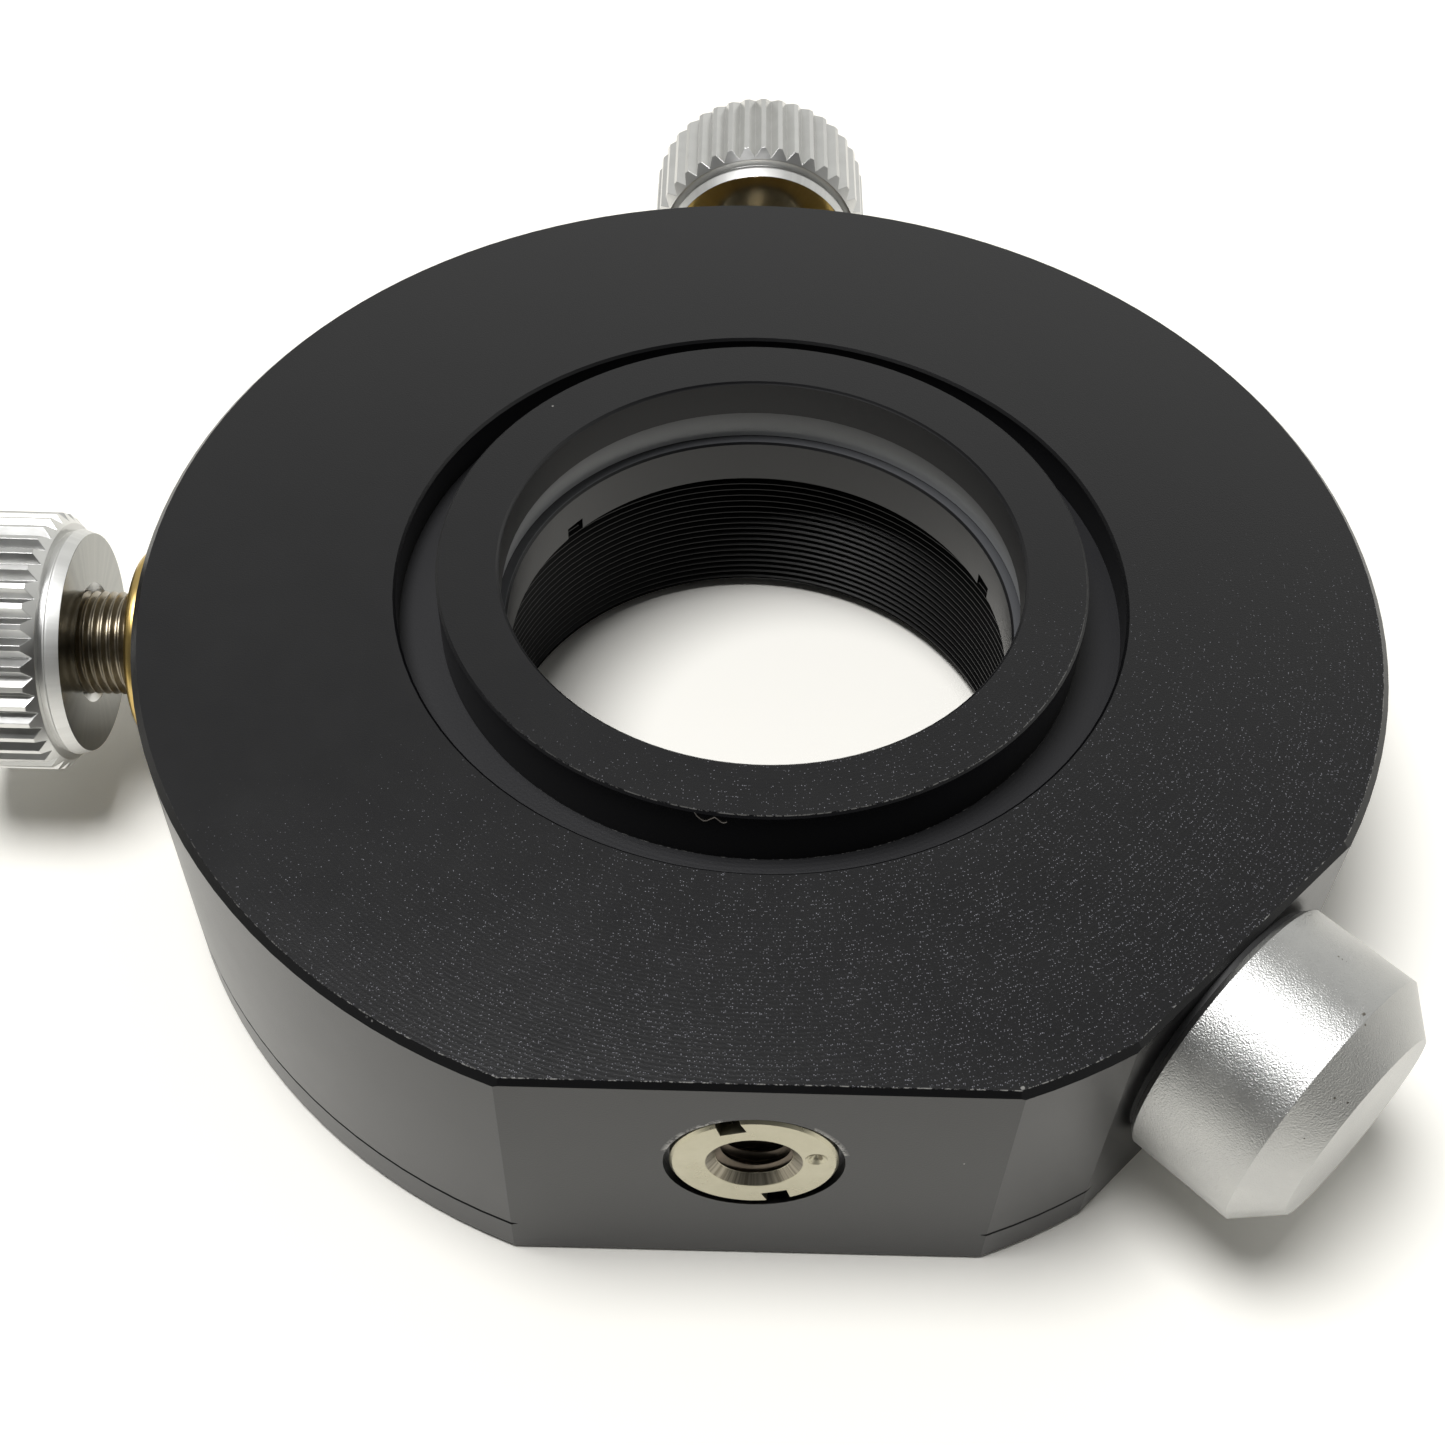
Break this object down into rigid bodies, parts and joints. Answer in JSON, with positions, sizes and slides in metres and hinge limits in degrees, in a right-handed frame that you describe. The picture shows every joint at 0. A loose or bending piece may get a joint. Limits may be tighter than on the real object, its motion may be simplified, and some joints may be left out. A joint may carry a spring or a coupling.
{
  "type": "optical lens mount",
  "caption": "Round lens mount whose lens cell is centred sideways by two knurled screws against a sprung plunger; carried on a post thread.",
  "frame": {"origin": "on the optical axis, in the plane of the cell's front lip against which the lens face seats", "axes": "+Z out of the front along the optical axis, -Y along the post thread, -X and +Y towards the two knobs"},
  "size_m": [0.0815, 0.0804, 0.0187],
  "materials": {
    "black_anodised": "fine bead-blasted black anodising",
    "black_anodised_inner": "turned black anodising",
    "black_steel": "black oxide",
    "spring_steel": "drawn wire",
    "hard_steel": "ground and polished",
    "screw_steel": "fine-cut thread, lightly oiled",
    "brass": "turned brass",
    "knob_metal": "satin knurl with polished face",
    "cap_metal": "blasted clear anodising",
    "insert_steel": "turned stainless steel",
    "washer_bronze": "rolled bronze",
    "black_polymer": "matt black"
  },
  "bodies": {
    "housing": {"body": "black_anodised", "back_cover": "black_anodised", "cover_screws": "black_steel", "slide_washer": "washer_bronze", "x_bush": "brass", "y_bush": "brass", "spring_housing": "cap_metal", "cap_washer": "black_polymer", "post_insert": "insert_steel"},
    "x_tip": {"x_ball": "hard_steel"},
    "x_adjuster": {"x_screw": "screw_steel", "x_knob": "knob_metal"},
    "y_tip": {"y_ball": "hard_steel"},
    "y_adjuster": {"y_screw": "screw_steel", "y_knob": "knob_metal"},
    "cell": {"lens_cell": "black_anodised_inner", "x_pad": "hard_steel", "y_pad": "hard_steel"},
    "ring": {"retaining_ring": "black_anodised_inner"},
    "spring": {"plunger_spring": "spring_steel"},
    "plunger": {"plunger": "brass"}
  },
  "joints": [
    {"name": "x_advance", "type": "slide", "parent": "housing", "child": "x_tip", "axis": [1, 0, 0], "range_m": [-0.001, 0.001]},
    {"name": "x_turn", "type": "hinge", "parent": "x_tip", "child": "x_adjuster", "pos_m": [-0.0345, 0, -0.00625], "axis": [1, 0, 0], "range_deg": [-720, 720]},
    {"name": "y_advance", "type": "slide", "parent": "housing", "child": "y_tip", "axis": [0, 1, 0], "range_m": [-0.001, 0.001]},
    {"name": "y_turn", "type": "hinge", "parent": "y_tip", "child": "y_adjuster", "pos_m": [0, 0.0345, -0.00625], "axis": [0, 1, 0], "range_deg": [-720, 720]},
    {"name": "cell_y", "type": "slide", "parent": "x_tip", "child": "cell", "axis": [0, 1, 0], "range_m": [-0.001, 0.001]},
    {"name": "ring_out", "type": "slide", "parent": "cell", "child": "ring", "axis": [0, 0, 1], "range_m": [-0.015, 0]},
    {"name": "spring_follow", "type": "slide", "parent": "housing", "child": "spring", "axis": [0.7071, -0.7071, 0], "range_m": [-0.001, 0.001], "deforming": ["plunger_spring"]},
    {"name": "plunger_follow", "type": "slide", "parent": "spring", "child": "plunger", "axis": [0.7071, -0.7071, 0], "range_m": [-0.001, 0.001]}
  ],
  "couplings": [
    {"joint": "x_turn", "follows": "x_advance", "rad_per_m": 12566},
    {"joint": "y_turn", "follows": "y_advance", "rad_per_m": 12566},
    {"joint": "cell_y", "follows": "y_advance", "ratio": 1},
    {"joint": "spring_follow", "follows": "x_advance", "ratio": 0.70711},
    {"joint": "plunger_follow", "follows": "y_advance", "ratio": -0.70711}
  ]
}
